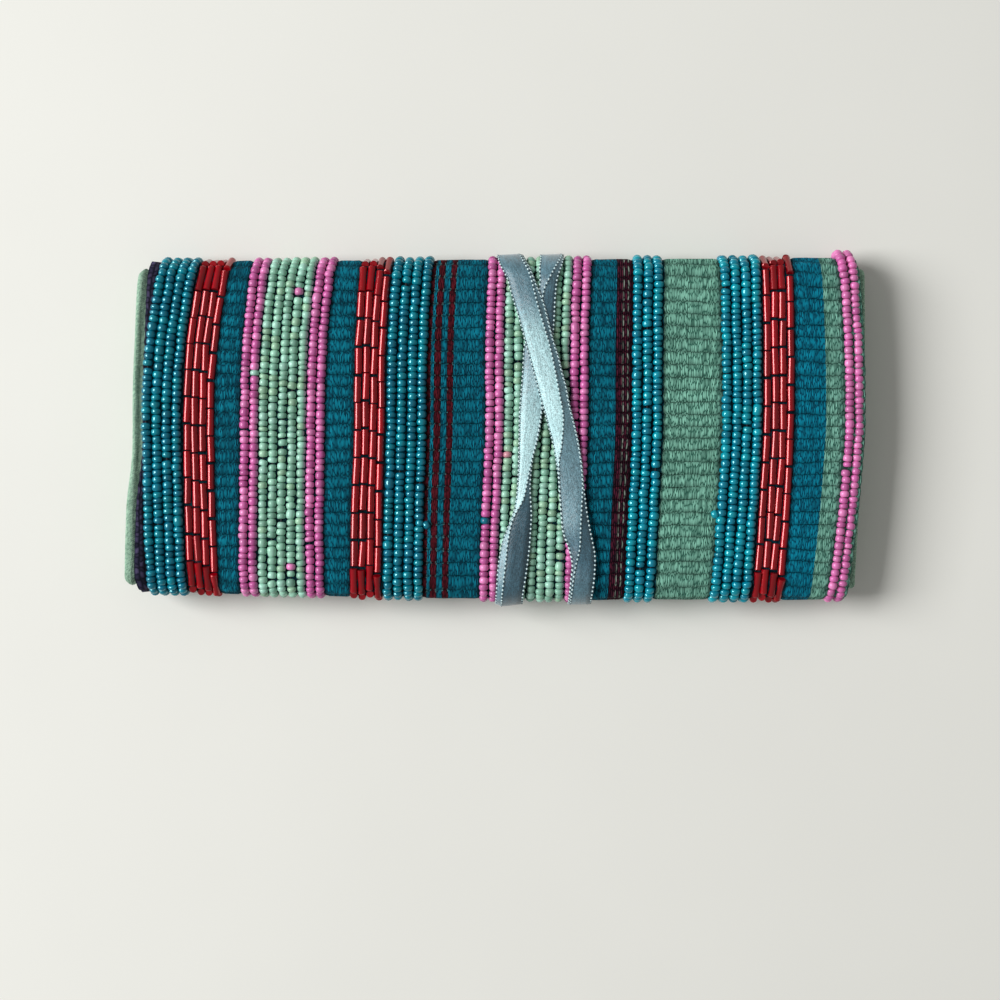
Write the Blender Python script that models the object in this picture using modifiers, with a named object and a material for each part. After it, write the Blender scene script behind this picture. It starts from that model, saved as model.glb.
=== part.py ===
"""A jewelry roll: beaded cloth with a padded lining, folded in three and tied with ribbon.

The X axis runs along the roll, Y from the bottom fold to the top fold, and Z up from the
surface that the roll lies on. The sheet goes from the flap inside, round the bottom fold,
over the front, round the top fold and down the back to its hem.
"""

import math
from collections import namedtuple

import bmesh
import bpy
from mathutils import Vector

# Driving dimensions, in metres
FOLDED_DEPTH = 0.0990
CLOTH_THICK = 0.0012
LINING_THICK = 0.0020
LINING_LEFT = 0.0032
LINING_RIGHT = 0.0006
LINING_CORNER = 0.0022
TURN_SLIT = 0.0004
FLAP_INSET = 0.0035
CONTACT_GAP = 0.0003
HEM_SLIT = 0.0008
STRAND_GAP = 0.00025
BEAD_WIDTH = {"teal": 0.0026, "bugle": 0.00195, "pink": 0.0024, "mint": 0.0024}
RIBBON_WIDTH = 0.0075
RIBBON_THICK = 0.0005
KNOT_DEPTH = 0.0050
KNOT_HEIGHT = 0.0031
KNOT_LIFT = 0.0002
KNOT_ROUNDING = 0.0009
TAIL_LENGTH = 0.0150
TAIL_WIDTH = 0.0042

# Stripes from the left edge to the right: a bare width of cloth, or a number of strands
STRIPES = (
    ("bare", 0.0012), ("teal", 4), ("bare", 0.0003), ("bugle", 4),
    ("bare", 0.0071), ("pink", 2), ("mint", 5), ("pink", 2),
    ("bare", 0.0080), ("bugle", 4), ("bare", 0.0003), ("teal", 4),
    ("bare", 0.0163), ("pink", 2), ("mint", 7), ("pink", 2),
    ("bare", 0.0122), ("teal", 3), ("bare", 0.0167), ("teal", 4),
    ("bare", 0.0003), ("bugle", 4), ("bare", 0.0141), ("pink", 2), ("bare", 0.0005),
)
TIED_BANDS = (8, 10)

# Ribbon routes: share of the half depth, and distance from the middle of the tied bands
OVER_FRONT = (
    (1.0, -0.0080), (0.875, -0.0055), (0.69, -0.0016), (0.31, 0.0022),
    (-0.15, 0.0087), (-0.71, 0.0125), (-1.0, 0.0120),
)
OVER_BACK = ((1.0, -0.0080), (-1.0, -0.0035))
UNDER_FRONT = (
    (1.0, 0.0043), (0.83, 0.0030), (0.375, 0.0005), (0.0, -0.0018),
    (-0.5, -0.0038), (-0.71, -0.0055), (-1.0, -0.0075),
)
UNDER_BACK = ((1.0, 0.0043), (-1.0, 0.0065))
CROSSING_END = 0.02
CROSSING_RAMP = 0.25

# How the soft roll settles
PILLOW_SAG = 0.0006
END_SAG = {"left": 0.0005, "right": 0.0011}
END_SAG_LENGTH = {"left": 0.0100, "right": 0.0068}
TIE_DENT = 0.0010
TIE_DENT_RAMP = 0.0090
GROUP_GAP = 0.0010
EDGE_LEAN = {"top": 0.0028, "bottom": -0.0012}
LEAN_CURVE = {"top": (0.0019, -0.024, -2.0), "bottom": (-0.0015, -0.017, -2.2)}
LEAN_POWER = {"top": 2.0, "bottom": 1.25}
LEFT_SHORTENING = 0.0022
TOP_TAPER = 0.0010

# Facets, and extra lines along X as shares of the half width
EXTRA_LINES = (-0.6, -0.3, 0.62)
FOLD_STEPS = 6
FRONT_STEPS = 5
BACK_STEPS = 3
FLAP_STEPS = 3
RIBBON_STEPS = 13

# Colour, roughness and metallic value of each material
LOOKS = {
    "cloth": ((0.010, 0.125, 0.175, 1.0), 0.85, 0.0),
    "lining": ((0.270, 0.420, 0.270, 1.0), 0.80, 0.0),
    "ribbon": ((0.210, 0.330, 0.370, 1.0), 0.38, 0.0),
    "teal": ((0.008, 0.130, 0.190, 1.0), 0.22, 0.0),
    "bugle": ((0.250, 0.006, 0.012, 1.0), 0.15, 0.0),
    "pink": ((0.560, 0.110, 0.310, 1.0), 0.25, 0.0),
    "mint": ((0.220, 0.400, 0.290, 1.0), 0.30, 0.0),
}

# Heights and folds that follow from the layers
HEX_FLAT = math.cos(math.radians(30))
SHEET_THICK = CLOTH_THICK + CONTACT_GAP + LINING_THICK
BEAD_REACH = CONTACT_GAP + BEAD_WIDTH["teal"] * HEX_FLAT
BACK_LEVEL = BEAD_REACH
FLAP_LEVEL = BACK_LEVEL + SHEET_THICK + TURN_SLIT
FRONT_LEVEL = FLAP_LEVEL + 2 * SHEET_THICK + TURN_SLIT
HALF_DEPTH = FOLDED_DEPTH / 2
TOP_RADIUS = (FRONT_LEVEL - BACK_LEVEL) / 2
BOTTOM_RADIUS = (FRONT_LEVEL - FLAP_LEVEL) / 2
TOP_FOLD_Y = HALF_DEPTH - BEAD_REACH - TOP_RADIUS
TOP_FOLD_Z = BACK_LEVEL + TOP_RADIUS
BOTTOM_FOLD_Y = BEAD_REACH + BOTTOM_RADIUS - HALF_DEPTH
BOTTOM_FOLD_Z = FLAP_LEVEL + BOTTOM_RADIUS
HEM_Y = BOTTOM_FOLD_Y + HEM_SLIT
LINING_OFFSET = -(CLOTH_THICK + CONTACT_GAP)
RIBBON_OFFSET = 2 * CONTACT_GAP + max(BEAD_WIDTH["mint"], BEAD_WIDTH["pink"]) * HEX_FLAT

Station = namedtuple("Station", "y z out_y out_z")
Strand = namedtuple("Strand", "name x kind")
Anchor = namedtuple("Anchor", "x top bottom")


def cloth_width():
    """Width of the cloth along X, from the stripes."""
    return sum(stripe_width(kind, amount) for kind, amount in STRIPES)


def stripe_width(kind, amount):
    """Width of one stripe: as given when bare, or its strands side by side."""
    if kind == "bare":
        return amount
    return amount * (BEAD_WIDTH[kind] + STRAND_GAP)


def lay_out_stripes():
    """Walk the stripes and return every strand and the two edges of every band."""
    strands = []
    band_edges = []
    x = -cloth_width() / 2
    for kind, amount in STRIPES:
        width = stripe_width(kind, amount)
        if kind != "bare":
            band_edges.append((x, x + width))
            pitch = width / amount
            for number in range(amount):
                name = f"band_{len(band_edges):02d}_{kind}_strand_{number + 1}"
                strands.append(Strand(name, x + (number + 0.5) * pitch, kind))
        x += width
    return strands, band_edges


STRANDS, BAND_EDGES = lay_out_stripes()
CLOTH_LEFT = -cloth_width() / 2
CLOTH_RIGHT = cloth_width() / 2
TIE_LEFT = BAND_EDGES[TIED_BANDS[0] - 1][0] - CONTACT_GAP
TIE_RIGHT = BAND_EDGES[TIED_BANDS[1] - 1][1] + CONTACT_GAP
TIE_MIDDLE = (TIE_LEFT + TIE_RIGHT) / 2


def lean_anchors():
    """Lines along X that drift to the side at the folds: the left edge and each group of bands.

    A group keeps its width, and the bare cloth between two groups gives.
    """
    groups = []
    for left, right in BAND_EDGES:
        if groups and left - groups[-1][1] < GROUP_GAP:
            groups[-1] = (groups[-1][0], right)
        else:
            groups.append((left, right))
    anchors = [Anchor(CLOTH_LEFT, EDGE_LEAN["top"], EDGE_LEAN["bottom"])]
    for left, right in groups:
        middle = (left + right) / 2
        drift = []
        for end in ("top", "bottom"):
            level, slope, bow = LEAN_CURVE[end]
            drift.append(level + slope * middle + bow * middle ** 3)
        anchors += [Anchor(left, *drift), Anchor(right, *drift)]
    return anchors


LEAN_ANCHORS = lean_anchors()


# The section of the sheet's outer face, as stations with their outward direction

def straight(start_y, end_y, z, out_z, steps):
    """Stations along a flat stretch, without its last point."""
    step = (end_y - start_y) / steps
    return [Station(start_y + step * i, z, 0.0, out_z) for i in range(steps)]


def fold(centre_y, centre_z, radius, start, end, steps):
    """Stations round a fold between two angles in degrees, without the last point."""
    stations = []
    for i in range(steps):
        angle = math.radians(start + (end - start) * i / steps)
        out_y = math.cos(angle)
        out_z = math.sin(angle)
        stations.append(Station(centre_y + radius * out_y, centre_z + radius * out_z, out_y, out_z))
    return stations


def strand_section():
    """From under the bottom fold, over the front and the top fold, to the hem."""
    stations = fold(BOTTOM_FOLD_Y, BOTTOM_FOLD_Z, BOTTOM_RADIUS, 270, 90, FOLD_STEPS)
    stations += straight(BOTTOM_FOLD_Y, TOP_FOLD_Y, FRONT_LEVEL, 1.0, FRONT_STEPS)
    stations += fold(TOP_FOLD_Y, TOP_FOLD_Z, TOP_RADIUS, 90, -90, FOLD_STEPS)
    stations += straight(TOP_FOLD_Y, HEM_Y, BACK_LEVEL, -1.0, BACK_STEPS)
    return stations + [Station(HEM_Y, BACK_LEVEL, 0.0, -1.0)]


def sheet_section():
    """The whole sheet, with the flap that is tucked inside."""
    flap_end = TOP_FOLD_Y - FLAP_INSET
    return straight(flap_end, BOTTOM_FOLD_Y, FLAP_LEVEL, -1.0, FLAP_STEPS) + strand_section()


def ribbon_section():
    """Once round the roll, finer on the front, with both ends in the knot."""
    knot_z = KNOT_LIFT + KNOT_HEIGHT / 2
    knot_y = knot_middle_y()
    stations = [Station(knot_y, knot_z, 0.0, 0.0)]
    stations += fold(BOTTOM_FOLD_Y, BOTTOM_FOLD_Z, BOTTOM_RADIUS, 240, 90, FOLD_STEPS - 1)
    stations += straight(BOTTOM_FOLD_Y, TOP_FOLD_Y, FRONT_LEVEL, 1.0, RIBBON_STEPS)
    stations += fold(TOP_FOLD_Y, TOP_FOLD_Z, TOP_RADIUS, 90, -90, FOLD_STEPS)
    stations += straight(TOP_FOLD_Y, HEM_Y, BACK_LEVEL, -1.0, BACK_STEPS)
    return stations + [Station(knot_y, BACK_LEVEL, 0.0, -1.0)]


def knot_middle_y():
    """The knot lies in the step between the hem and the bottom fold."""
    return HEM_Y - CONTACT_GAP - KNOT_DEPTH / 2


# How the roll settles

def ramp(value, low, high):
    """Share of the way from low to high, kept between 0 and 1."""
    return min(max((value - low) / (high - low), 0.0), 1.0)


def lean(x, y):
    """Sideways drift of the stripes towards the two folds."""
    end = "top" if y > 0 else "bottom"
    drift = getattr(LEAN_ANCHORS[-1], end)
    for before, after in zip(LEAN_ANCHORS, LEAN_ANCHORS[1:]):
        if x < after.x:
            share = ramp(x, before.x, after.x)
            drift = getattr(before, end) * (1 - share) + getattr(after, end) * share
            break
    return drift * abs(y / HALF_DEPTH) ** LEAN_POWER[end]


def settle(x, y, z):
    """Move a point of the roll's plain form to where the soft roll holds it."""
    rise = ramp(z, BACK_LEVEL, FRONT_LEVEL)
    sag = PILLOW_SAG * (y / HALF_DEPTH) ** 4
    sag += END_SAG["left"] * ramp(-x, -CLOTH_LEFT - END_SAG_LENGTH["left"], -CLOTH_LEFT)
    sag += END_SAG["right"] * ramp(x, CLOTH_RIGHT - END_SAG_LENGTH["right"], CLOTH_RIGHT)
    hold = ramp(x, TIE_LEFT - TIE_DENT_RAMP, TIE_LEFT) - ramp(x, TIE_RIGHT, TIE_RIGHT + TIE_DENT_RAMP)
    short = LEFT_SHORTENING * ramp(-x, 0.0, CLOTH_RIGHT) * ramp(-y, 0.0, HALF_DEPTH)
    short -= TOP_TAPER * ramp(-x, -CLOTH_RIGHT, CLOTH_RIGHT) * ramp(y, 0.0, HALF_DEPTH)
    return Vector((x + lean(x, y), y + short, z + TIE_DENT * hold * (1 - rise) - sag * rise))


# Objects

def new_collection(name):
    """A collection linked to the scene."""
    collection = bpy.data.collections.new(name)
    bpy.context.scene.collection.children.link(collection)
    return collection


def material(slot):
    """The Principled material of one slot, made once."""
    made = bpy.data.materials.get(slot)
    if made:
        return made
    colour, roughness, metallic = LOOKS[slot]
    made = bpy.data.materials.new(slot)
    made.use_nodes = True
    shader = made.node_tree.nodes["Principled BSDF"]
    shader.inputs["Base Color"].default_value = colour
    shader.inputs["Roughness"].default_value = roughness
    shader.inputs["Metallic"].default_value = metallic
    made.diffuse_color = colour
    return made


def add_object(name, data, slot, collection):
    """An object for mesh or curve data, in its collection and material."""
    data.materials.append(material(slot))
    made = bpy.data.objects.new(name, data)
    collection.objects.link(made)
    return made


def settled_sheet(name, rows, thickness, outward, slot, collection):
    """A sheet through rows of points, given its thickness and then settled."""
    flat = bmesh.new()
    columns = len(rows[0])
    bmesh.ops.create_grid(flat, x_segments=columns - 1, y_segments=len(rows) - 1, size=1)
    for vertex, point in zip(flat.verts, (point for row in rows for point in row)):
        vertex.co = point
    mesh = bpy.data.meshes.new(name + "_surface")
    flat.to_mesh(mesh)
    flat.free()
    surface = bpy.data.objects.new(name + "_surface", mesh)
    collection.objects.link(surface)
    solidify = surface.modifiers.new("thickness", "SOLIDIFY")
    solidify.thickness = thickness
    solidify.offset = 1.0 if outward else -1.0
    solidify.use_even_offset = True
    solid = bpy.data.meshes.new_from_object(surface.evaluated_get(bpy.context.evaluated_depsgraph_get()))
    solid.name = name
    bpy.data.objects.remove(surface)
    for vertex in solid.vertices:
        vertex.co = settle(*vertex.co)
    return add_object(name, solid, slot, collection)


def offset_rows(stations, x_lines, offset):
    """Rows of points at one distance outside the section, on the same lines along X."""
    rows = []
    for station in stations:
        y = station.y + station.out_y * offset
        z = station.z + station.out_z * offset
        rows.append([Vector((x, y, z)) for x in x_lines(station)])
    return rows


# The sheet

def bend_lines():
    """Lines along X where the settled form bends, between the two edges."""
    lines = [CLOTH_RIGHT * share for share in EXTRA_LINES]
    lines += [TIE_LEFT - TIE_DENT_RAMP, TIE_LEFT, TIE_RIGHT, TIE_RIGHT + TIE_DENT_RAMP]
    lines += [CLOTH_LEFT + END_SAG_LENGTH["left"], CLOTH_RIGHT - END_SAG_LENGTH["right"]]
    return sorted(lines)


def build_cloth(collection):
    """The striped outer cloth, one sheet round the whole roll."""
    def lines(station):
        return [CLOTH_LEFT] + bend_lines() + [CLOTH_RIGHT]

    rows = offset_rows(sheet_section(), lines, 0.0)
    settled_sheet("outer_cloth", rows, CLOTH_THICK, False, "cloth", collection)


def build_lining(collection):
    """The padded lining, which shows past the cloth at the left edge and right corners."""
    def lines(station):
        corner = LINING_CORNER * min((station.y / HALF_DEPTH) ** 2, 1.0)
        outer_left = CLOTH_LEFT - LINING_LEFT
        outer_right = CLOTH_RIGHT + LINING_RIGHT + corner
        return [outer_left, CLOTH_LEFT] + bend_lines() + [CLOTH_RIGHT, outer_right]

    rows = offset_rows(sheet_section(), lines, LINING_OFFSET)
    settled_sheet("padded_lining", rows, LINING_THICK, False, "lining", collection)


# Bead strands

def build_strand(strand, collection):
    """One threaded strand, a six-sided tube with a flat side towards the cloth."""
    width = BEAD_WIDTH[strand.kind]
    centre = CONTACT_GAP + width / 2 * HEX_FLAT
    curve = bpy.data.curves.new(strand.name, "CURVE")
    curve.dimensions = "3D"
    curve.bevel_depth = width / 2
    curve.bevel_resolution = 1
    curve.use_fill_caps = True
    stations = strand_section()
    spline = curve.splines.new("POLY")
    spline.points.add(len(stations) - 1)
    for point, station in zip(spline.points, stations):
        y = station.y + station.out_y * centre
        z = station.z + station.out_z * centre
        point.co = (*settle(strand.x, y, z), 1.0)
    add_object(strand.name, curve, strand.kind, collection)


# Ribbon tie

def along_route(route, y):
    """Distance from the middle of the tied bands at one height of a route."""
    share = y / HALF_DEPTH
    for (high, high_x), (low, low_x) in zip(route, route[1:]):
        if share >= low:
            return low_x + (high_x - low_x) * min((share - low) / (high - low), 1.0)
    return route[-1][1]


def crossing_lift(station):
    """Extra height of the upper ribbon where it lies on the lower one."""
    share = station.y / HALF_DEPTH
    on_front = station.out_z == 1.0
    if not on_front:
        return 0.0
    return (RIBBON_THICK + CONTACT_GAP) * ramp(share, CROSSING_END - CROSSING_RAMP, CROSSING_END)


def ribbon_run(name, front, back, upper, collection):
    """One run of ribbon round the roll, from the knot and back to it."""
    rows = []
    for station in ribbon_section():
        route = back if station.out_z == -1.0 else front
        offset = RIBBON_OFFSET + (crossing_lift(station) if upper else 0.0)
        y = station.y + station.out_y * offset
        z = station.z + station.out_z * offset
        middle = TIE_MIDDLE + along_route(route, y)
        middle -= lean(middle, y)
        half = RIBBON_WIDTH / 2
        rows.append([Vector((middle - half, y, z)), Vector((middle + half, y, z))])
    return settled_sheet(name, rows, RIBBON_THICK, True, "ribbon", collection)


def knot_block(collection):
    """The bunched knot in the step under the bottom fold, reaching both runs."""
    left = TIE_MIDDLE + UNDER_FRONT[-1][1] - RIBBON_WIDTH / 2 - CONTACT_GAP
    right = TIE_MIDDLE + OVER_FRONT[-1][1] + RIBBON_WIDTH / 2 + CONTACT_GAP
    block = bmesh.new()
    bmesh.ops.create_cube(block, size=1)
    bmesh.ops.scale(block, vec=(right - left, KNOT_DEPTH, KNOT_HEIGHT), verts=block.verts)
    bmesh.ops.bevel(
        block, geom=block.edges, offset=KNOT_ROUNDING, segments=2, profile=0.5, affect="EDGES"
    )
    mesh = bpy.data.meshes.new("knot_block")
    block.to_mesh(mesh)
    block.free()
    knot = add_object("knot_block", mesh, "ribbon", collection)
    knot.location = ((left + right) / 2, knot_middle_y(), KNOT_LIFT + KNOT_HEIGHT / 2)
    return knot


def knot_tails(collection):
    """The two short ends, out to both sides of the knot under the fold."""
    left = TIE_MIDDLE + UNDER_FRONT[-1][1] - RIBBON_WIDTH / 2 - TAIL_LENGTH
    right = TIE_MIDDLE + OVER_FRONT[-1][1] + RIBBON_WIDTH / 2 + TAIL_LENGTH
    tails = bmesh.new()
    bmesh.ops.create_cube(tails, size=1)
    bmesh.ops.scale(tails, vec=(right - left, TAIL_WIDTH, RIBBON_THICK), verts=tails.verts)
    mesh = bpy.data.meshes.new("knot_tails")
    tails.to_mesh(mesh)
    tails.free()
    made = add_object("knot_tails", mesh, "ribbon", collection)
    made.location = ((left + right) / 2, knot_middle_y(), KNOT_LIFT + KNOT_HEIGHT / 2)
    return made


def build_ribbon(parts, cutters):
    """The ribbon tie: two runs that cross on the front, with their knot, as one piece."""
    tie = ribbon_run("ribbon_tie", OVER_FRONT, OVER_BACK, True, parts)
    members = [
        ribbon_run("lower_run", UNDER_FRONT, UNDER_BACK, False, cutters),
        knot_block(cutters),
        knot_tails(cutters),
    ]
    for member in members:
        member.hide_render = True
        member.display_type = "WIRE"
        union = tie.modifiers.new(member.name, "BOOLEAN")
        union.operation = "UNION"
        union.object = member


def centre_over_origin(collections):
    """Put the middle of the whole roll's plan over the origin."""
    depsgraph = bpy.context.evaluated_depsgraph_get()
    points = []
    for made in collections[0].objects:
        shape = made.evaluated_get(depsgraph).to_mesh()
        points += [made.matrix_world @ vertex.co for vertex in shape.vertices]
    middle = Vector((0.0, 0.0, 0.0))
    middle.x = (min(p.x for p in points) + max(p.x for p in points)) / 2
    middle.y = (min(p.y for p in points) + max(p.y for p in points)) / 2
    for collection in collections:
        for made in collection.objects:
            made.location -= middle


def main():
    """Clear the scene and build the roll."""
    for old in list(bpy.data.objects):
        bpy.data.objects.remove(old)
    parts = new_collection("jewelry_roll")
    cutters = new_collection("joined_into_the_tie")
    build_cloth(parts)
    build_lining(parts)
    for strand in STRANDS:
        build_strand(strand, parts)
    build_ribbon(parts, cutters)
    centre_over_origin([parts, cutters])


main()
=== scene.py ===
import math
import random
from collections import namedtuple

import bpy
from mathutils import Matrix, Quaternion, Vector, noise


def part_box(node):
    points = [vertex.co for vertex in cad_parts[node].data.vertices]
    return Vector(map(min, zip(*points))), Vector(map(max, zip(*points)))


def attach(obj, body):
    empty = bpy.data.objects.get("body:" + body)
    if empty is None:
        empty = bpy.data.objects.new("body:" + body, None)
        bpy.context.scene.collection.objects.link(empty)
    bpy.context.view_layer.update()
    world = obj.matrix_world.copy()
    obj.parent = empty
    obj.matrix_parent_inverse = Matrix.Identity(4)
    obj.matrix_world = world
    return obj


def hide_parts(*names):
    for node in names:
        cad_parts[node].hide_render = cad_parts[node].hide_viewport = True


# A beaded jewelry roll, folded in three and tied with satin ribbon, on a pale table.
# X runs along the roll, Y from the bottom fold to the top fold, Z up from the table.

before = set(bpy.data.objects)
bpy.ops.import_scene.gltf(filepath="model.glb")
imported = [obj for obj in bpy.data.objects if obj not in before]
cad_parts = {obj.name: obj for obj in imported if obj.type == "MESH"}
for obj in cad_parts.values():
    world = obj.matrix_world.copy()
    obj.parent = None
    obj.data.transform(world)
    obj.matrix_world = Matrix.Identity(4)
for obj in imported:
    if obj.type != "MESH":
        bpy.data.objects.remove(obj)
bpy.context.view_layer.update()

# Sizes of the roll, in metres
FOLDED_DEPTH = 0.0990
CLOTH_THICK = 0.0012
LINING_THICK = 0.0020
LINING_LEFT = 0.0032
LINING_RIGHT = 0.0006
LINING_CORNER = 0.0022
TURN_SLIT = 0.0004
FLAP_INSET = 0.0035
CONTACT_GAP = 0.0003
HEM_SLIT = 0.0008
STRAND_GAP = 0.00025
BEAD_WIDTH = {"teal": 0.0026, "bugle": 0.00195, "pink": 0.0024, "mint": 0.0024}
KNOT_DEPTH = 0.0050
KNOT_HEIGHT = 0.0031
KNOT_LIFT = 0.0002

# Stripes from the left edge to the right: a bare width of cloth, or a number of strands
STRIPES = (
    ("bare", 0.0012), ("teal", 4), ("bare", 0.0003), ("bugle", 4),
    ("bare", 0.0071), ("pink", 2), ("mint", 5), ("pink", 2),
    ("bare", 0.0080), ("bugle", 4), ("bare", 0.0003), ("teal", 4),
    ("bare", 0.0163), ("pink", 2), ("mint", 7), ("pink", 2),
    ("bare", 0.0122), ("teal", 3), ("bare", 0.0167), ("teal", 4),
    ("bare", 0.0003), ("bugle", 4), ("bare", 0.0141), ("pink", 2), ("bare", 0.0005),
)
TIED_BANDS = (8, 10)

# How the soft roll settles
PILLOW_SAG = 0.0006
END_SAG = {"left": 0.0005, "right": 0.0011}
END_SAG_LENGTH = {"left": 0.0100, "right": 0.0068}
TIE_DENT = 0.0010
TIE_DENT_RAMP = 0.0090
GROUP_GAP = 0.0010
EDGE_LEAN = {"top": 0.0028, "bottom": -0.0012}
LEAN_CURVE = {"top": (0.0019, -0.024, -2.0), "bottom": (-0.0015, -0.017, -2.2)}
LEAN_POWER = {"top": 2.0, "bottom": 1.25}
LEFT_SHORTENING = 0.0022
TOP_TAPER = 0.0010

# Heights and folds that follow from the layers
HEX_FLAT = math.cos(math.radians(30))
SHEET_THICK = CLOTH_THICK + CONTACT_GAP + LINING_THICK
BEAD_REACH = CONTACT_GAP + BEAD_WIDTH["teal"] * HEX_FLAT
BACK_LEVEL = BEAD_REACH
FLAP_LEVEL = BACK_LEVEL + SHEET_THICK + TURN_SLIT
FRONT_LEVEL = FLAP_LEVEL + 2 * SHEET_THICK + TURN_SLIT
HALF_DEPTH = FOLDED_DEPTH / 2
TOP_RADIUS = (FRONT_LEVEL - BACK_LEVEL) / 2
BOTTOM_RADIUS = (FRONT_LEVEL - FLAP_LEVEL) / 2
TOP_FOLD_Y = HALF_DEPTH - BEAD_REACH - TOP_RADIUS
TOP_FOLD_Z = BACK_LEVEL + TOP_RADIUS
BOTTOM_FOLD_Y = BEAD_REACH + BOTTOM_RADIUS - HALF_DEPTH
BOTTOM_FOLD_Z = FLAP_LEVEL + BOTTOM_RADIUS
HEM_Y = BOTTOM_FOLD_Y + HEM_SLIT
LINING_OFFSET = -(CLOTH_THICK + CONTACT_GAP)

# Distances along the sheet, from the end of the flap inside to the hem on the back
BOTTOM_START = TOP_FOLD_Y - FLAP_INSET - BOTTOM_FOLD_Y
FRONT_START = BOTTOM_START + math.pi * BOTTOM_RADIUS
TOP_START = FRONT_START + TOP_FOLD_Y - BOTTOM_FOLD_Y
BACK_START = TOP_START + math.pi * TOP_RADIUS
SHEET_LENGTH = BACK_START + TOP_FOLD_Y - HEM_Y

Strand = namedtuple("Strand", "name x kind band")
Anchor = namedtuple("Anchor", "x top bottom")


def stripe_width(kind, amount):
    """A bare width of cloth as it is, or the width that a number of strands takes."""
    if kind == "bare":
        return amount
    return amount * (BEAD_WIDTH[kind] + STRAND_GAP)


CLOTH_WIDTH = sum(stripe_width(kind, amount) for kind, amount in STRIPES)
CLOTH_LEFT = -CLOTH_WIDTH / 2
CLOTH_RIGHT = CLOTH_WIDTH / 2


def lay_out_stripes():
    """Every strand, the two sides of every band, and those of every bare stripe."""
    strands = []
    bands = []
    bare = []
    x = CLOTH_LEFT
    for kind, amount in STRIPES:
        width = stripe_width(kind, amount)
        if kind == "bare":
            bare.append((x, x + width))
        else:
            bands.append((x, x + width))
            for number in range(amount):
                name = f"band_{len(bands):02d}_{kind}_strand_{number + 1}"
                middle = x + (number + 0.5) * width / amount
                strands.append(Strand(name, middle, kind, len(bands)))
        x += width
    return strands, bands, bare


STRANDS, BANDS, BARE_STRIPES = lay_out_stripes()
TIE_LEFT = BANDS[TIED_BANDS[0] - 1][0] - CONTACT_GAP
TIE_RIGHT = BANDS[TIED_BANDS[1] - 1][1] + CONTACT_GAP


def lean_anchors():
    """Lines along X that drift to the side at the folds; a group of bands keeps its width."""
    groups = []
    for left, right in BANDS:
        if groups and left - groups[-1][1] < GROUP_GAP:
            groups[-1] = (groups[-1][0], right)
        else:
            groups.append((left, right))
    anchors = [Anchor(CLOTH_LEFT, EDGE_LEAN["top"], EDGE_LEAN["bottom"])]
    for left, right in groups:
        middle = (left + right) / 2
        drift = []
        for end in ("top", "bottom"):
            level, slope, bow = LEAN_CURVE[end]
            drift.append(level + slope * middle + bow * middle ** 3)
        anchors += [Anchor(left, *drift), Anchor(right, *drift)]
    return anchors


LEAN_ANCHORS = lean_anchors()


# The form of the roll

def ramp(value, low, high):
    """Share of the way from low to high, kept between 0 and 1."""
    return min(max((value - low) / (high - low), 0.0), 1.0)


def ease(value, low, high):
    """A ramp with soft ends."""
    share = ramp(value, low, high)
    return share * share * (3 - 2 * share)


def lean(x, y):
    """Sideways drift of the stripes towards the two folds."""
    end = "top" if y > 0 else "bottom"
    drift = getattr(LEAN_ANCHORS[-1], end)
    for before, after in zip(LEAN_ANCHORS, LEAN_ANCHORS[1:]):
        if x < after.x:
            share = ramp(x, before.x, after.x)
            drift = getattr(before, end) * (1 - share) + getattr(after, end) * share
            break
    return drift * abs(y / HALF_DEPTH) ** LEAN_POWER[end]


def settle(x, y, z):
    """Move a point of the roll's plain form to where the soft roll holds it."""
    rise = ramp(z, BACK_LEVEL, FRONT_LEVEL)
    sag = PILLOW_SAG * (y / HALF_DEPTH) ** 4
    sag += END_SAG["left"] * ramp(-x, -CLOTH_LEFT - END_SAG_LENGTH["left"], -CLOTH_LEFT)
    sag += END_SAG["right"] * ramp(x, CLOTH_RIGHT - END_SAG_LENGTH["right"], CLOTH_RIGHT)
    hold = ramp(x, TIE_LEFT - TIE_DENT_RAMP, TIE_LEFT) - ramp(x, TIE_RIGHT, TIE_RIGHT + TIE_DENT_RAMP)
    short = LEFT_SHORTENING * ramp(-x, 0.0, CLOTH_RIGHT) * ramp(-y, 0.0, HALF_DEPTH)
    short -= TOP_TAPER * ramp(-x, -CLOTH_RIGHT, CLOTH_RIGHT) * ramp(y, 0.0, HALF_DEPTH)
    return Vector((x + lean(x, y), y + short, z + TIE_DENT * hold * (1 - rise) - sag * rise))


def middle_shift():
    """From the plain form's middle to the frame's, read off the cloth's lowest corner."""
    fold_y = BOTTOM_FOLD_Y - BOTTOM_RADIUS
    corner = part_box("outer_cloth")[0]
    return Vector((corner[0] - CLOTH_LEFT - lean(CLOTH_LEFT, fold_y), corner[1] - fold_y, 0.0))


SHIFT = middle_shift()


def round_fold(centre_y, centre_z, radius, angle):
    """Place and outward direction on the round of a fold."""
    out_y = math.cos(angle)
    out_z = math.sin(angle)
    return centre_y + radius * out_y, centre_z + radius * out_z, out_y, out_z


def section(along):
    """Place and outward direction on the sheet's outer face."""
    if along < BOTTOM_START:
        return TOP_FOLD_Y - FLAP_INSET - along, FLAP_LEVEL, 0.0, -1.0
    if along < FRONT_START:
        turn = 1.5 * math.pi - (along - BOTTOM_START) / BOTTOM_RADIUS
        return round_fold(BOTTOM_FOLD_Y, BOTTOM_FOLD_Z, BOTTOM_RADIUS, turn)
    if along < TOP_START:
        return BOTTOM_FOLD_Y + along - FRONT_START, FRONT_LEVEL, 0.0, 1.0
    if along < BACK_START:
        turn = 0.5 * math.pi - (along - TOP_START) / TOP_RADIUS
        return round_fold(TOP_FOLD_Y, TOP_FOLD_Z, TOP_RADIUS, turn)
    return TOP_FOLD_Y - (along - BACK_START), BACK_LEVEL, 0.0, -1.0


WANDER = 0.0004


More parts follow.
